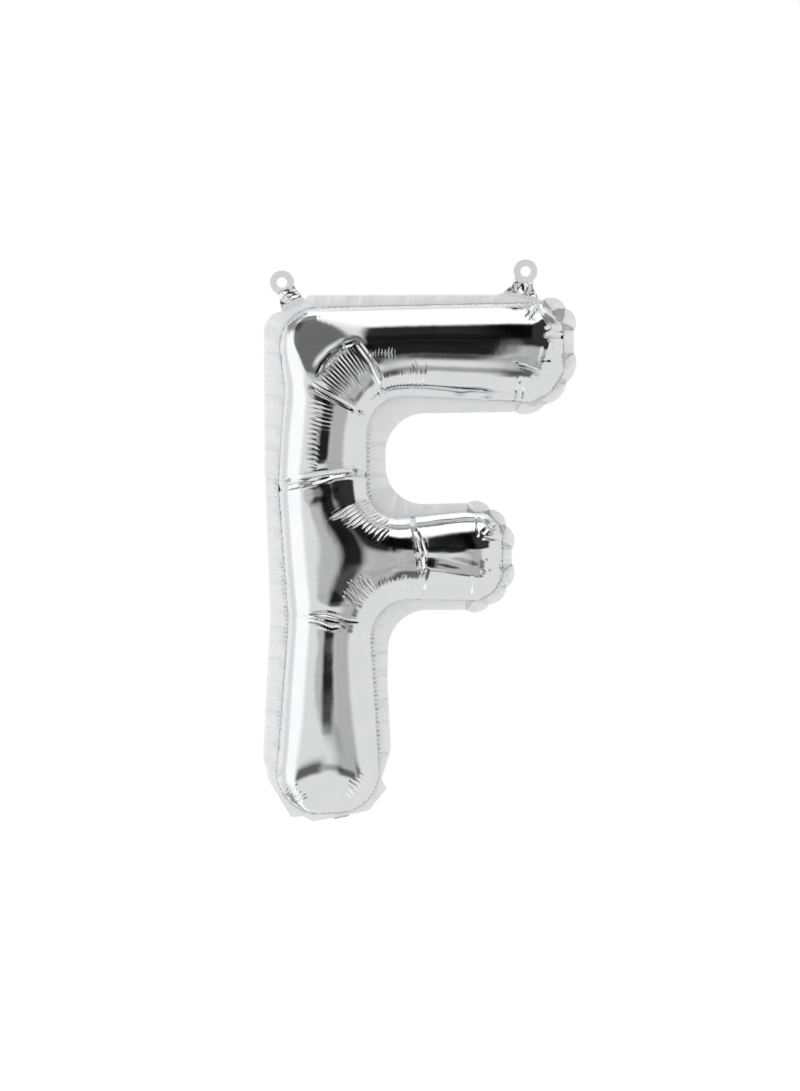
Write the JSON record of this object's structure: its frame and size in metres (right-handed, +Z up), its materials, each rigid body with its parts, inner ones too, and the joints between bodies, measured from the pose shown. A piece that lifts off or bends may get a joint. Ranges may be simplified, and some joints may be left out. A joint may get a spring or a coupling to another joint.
{
  "type": "letter foil balloon",
  "caption": "Air-filled letter F balloon in plain silver foil: two pillowed films sealed round a flat margin, with creased corners, punched hanging tabs and a folded filling tail",
  "frame": {"origin": "halfway between the centres of the two punched tab holes, in the plane of the seam, where the hanging line passes", "axes": "+X to the right as the letter is read, +Z up, the front of the letter faces -Y"},
  "size_m": [0.2131, 0.056, 0.3827],
  "materials": {
    "front_silver": "mirror-bright metallised film, drawn tight",
    "back_silver": "mirror-bright metallised film, drawn tight",
    "sealed_silver": "heat-sealed metallised film, slightly duller",
    "left_tab_silver": "heat-sealed metallised film, crumpled at the neck",
    "right_tab_silver": "heat-sealed metallised film, crumpled at the neck",
    "tail_silver": "heat-sealed metallised film, slightly duller"
  },
  "bodies": {
    "envelope": {"front_film": "front_silver", "back_film": "back_silver", "seam_margin": "sealed_silver"},
    "left_tab": {"hanging_tab_left": "left_tab_silver"},
    "right_tab": {"hanging_tab_right": "right_tab_silver"},
    "tail": {"filling_tail": "tail_silver"}
  },
  "joints": [
    {"name": "left_tab_fold", "type": "hinge", "parent": "envelope", "child": "left_tab", "pos_m": [-0.0754, 0, -0.0187], "axis": [0.8942, 0, 0.4478], "range_deg": [-75, 75]},
    {"name": "right_tab_fold", "type": "hinge", "parent": "envelope", "child": "right_tab", "pos_m": [0.0798, 0, -0.0122], "axis": [0.9823, 0, -0.1874], "range_deg": [-75, 75]},
    {"name": "tail_fold", "type": "hinge", "parent": "envelope", "child": "tail", "pos_m": [-0.04254, 0, -0.36799], "axis": [-0.9808, 0, -0.1951], "range_deg": [0, 96]}
  ]
}
